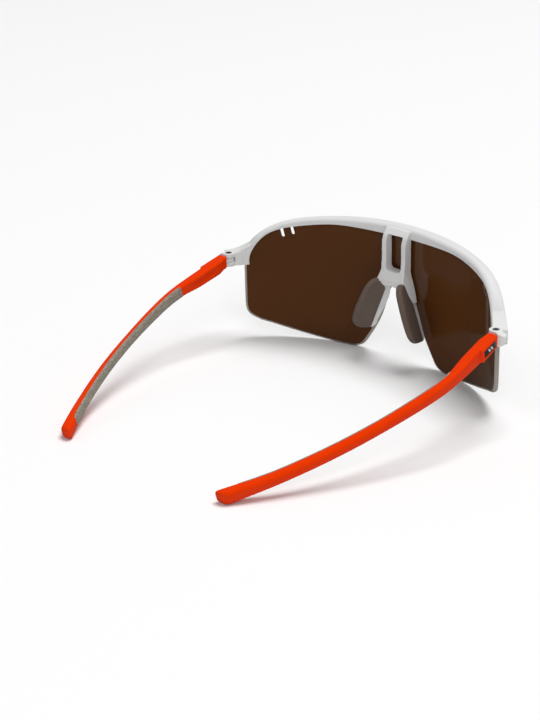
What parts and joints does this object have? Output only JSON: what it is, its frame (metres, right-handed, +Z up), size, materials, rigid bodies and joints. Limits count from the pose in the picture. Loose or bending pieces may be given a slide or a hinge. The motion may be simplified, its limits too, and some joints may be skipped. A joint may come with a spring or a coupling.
{
  "type": "sunglasses",
  "caption": "Wraparound sport sunglasses with a shield lens, brow bar, soft nose pads and folding temples with rubber grips.",
  "frame": {"origin": "bottom centre of the object's box, on the surface that the lens and the temple tips stand on", "axes": "+Y from the front back to the temple tips, +X towards the wearer's left, +Z up"},
  "size_m": [0.1366, 0.1417, 0.0542],
  "materials": {
    "frame_white": "matte white moulded plastic",
    "lens_brown": "dark brown tinted sheet, glossy, nearly opaque",
    "pad_rubber": "soft grey-brown rubber",
    "wire": "bare soft wire",
    "screw_steel": "dark blackened steel",
    "insert_brass": "plain machined brass",
    "tongue_white": "matte white moulded plastic",
    "temple_red": "satin orange-red moulded plastic",
    "grip_rubber": "fine-textured taupe rubber",
    "badge_plate": "dark anodised plate",
    "inlay_pale": null
  },
  "bodies": {
    "front": {"front_frame": "frame_white", "shield_lens": "lens_brown", "nose_pad_left": "pad_rubber", "nose_pad_right": "pad_rubber", "nose_wire_left": "wire", "nose_wire_right": "wire", "hinge_screw_left": "screw_steel", "hinge_screw_right": "screw_steel", "threaded_insert_left": "insert_brass", "threaded_insert_right": "insert_brass"},
    "temple_left": {"temple_arm_left": "temple_red", "temple_grip_left": "grip_rubber", "hinge_tongue_left": "tongue_white", "temple_badge_left": "badge_plate", "badge_inlay_left": "inlay_pale"},
    "temple_right": {"temple_arm_right": "temple_red", "temple_grip_right": "grip_rubber", "hinge_tongue_right": "tongue_white", "temple_badge_right": "badge_plate", "badge_inlay_right": "inlay_pale"}
  },
  "joints": [
    {"name": "left_temple_fold", "type": "hinge", "parent": "front", "child": "temple_left", "pos_m": [0.064, -0.03942, 0.0336], "axis": [0, 0.0359, 0.9994], "range_deg": [0, 80]},
    {"name": "right_temple_fold", "type": "hinge", "parent": "front", "child": "temple_right", "pos_m": [-0.064, -0.03942, 0.0336], "axis": [0, -0.0359, -0.9994], "range_deg": [0, 71]}
  ]
}
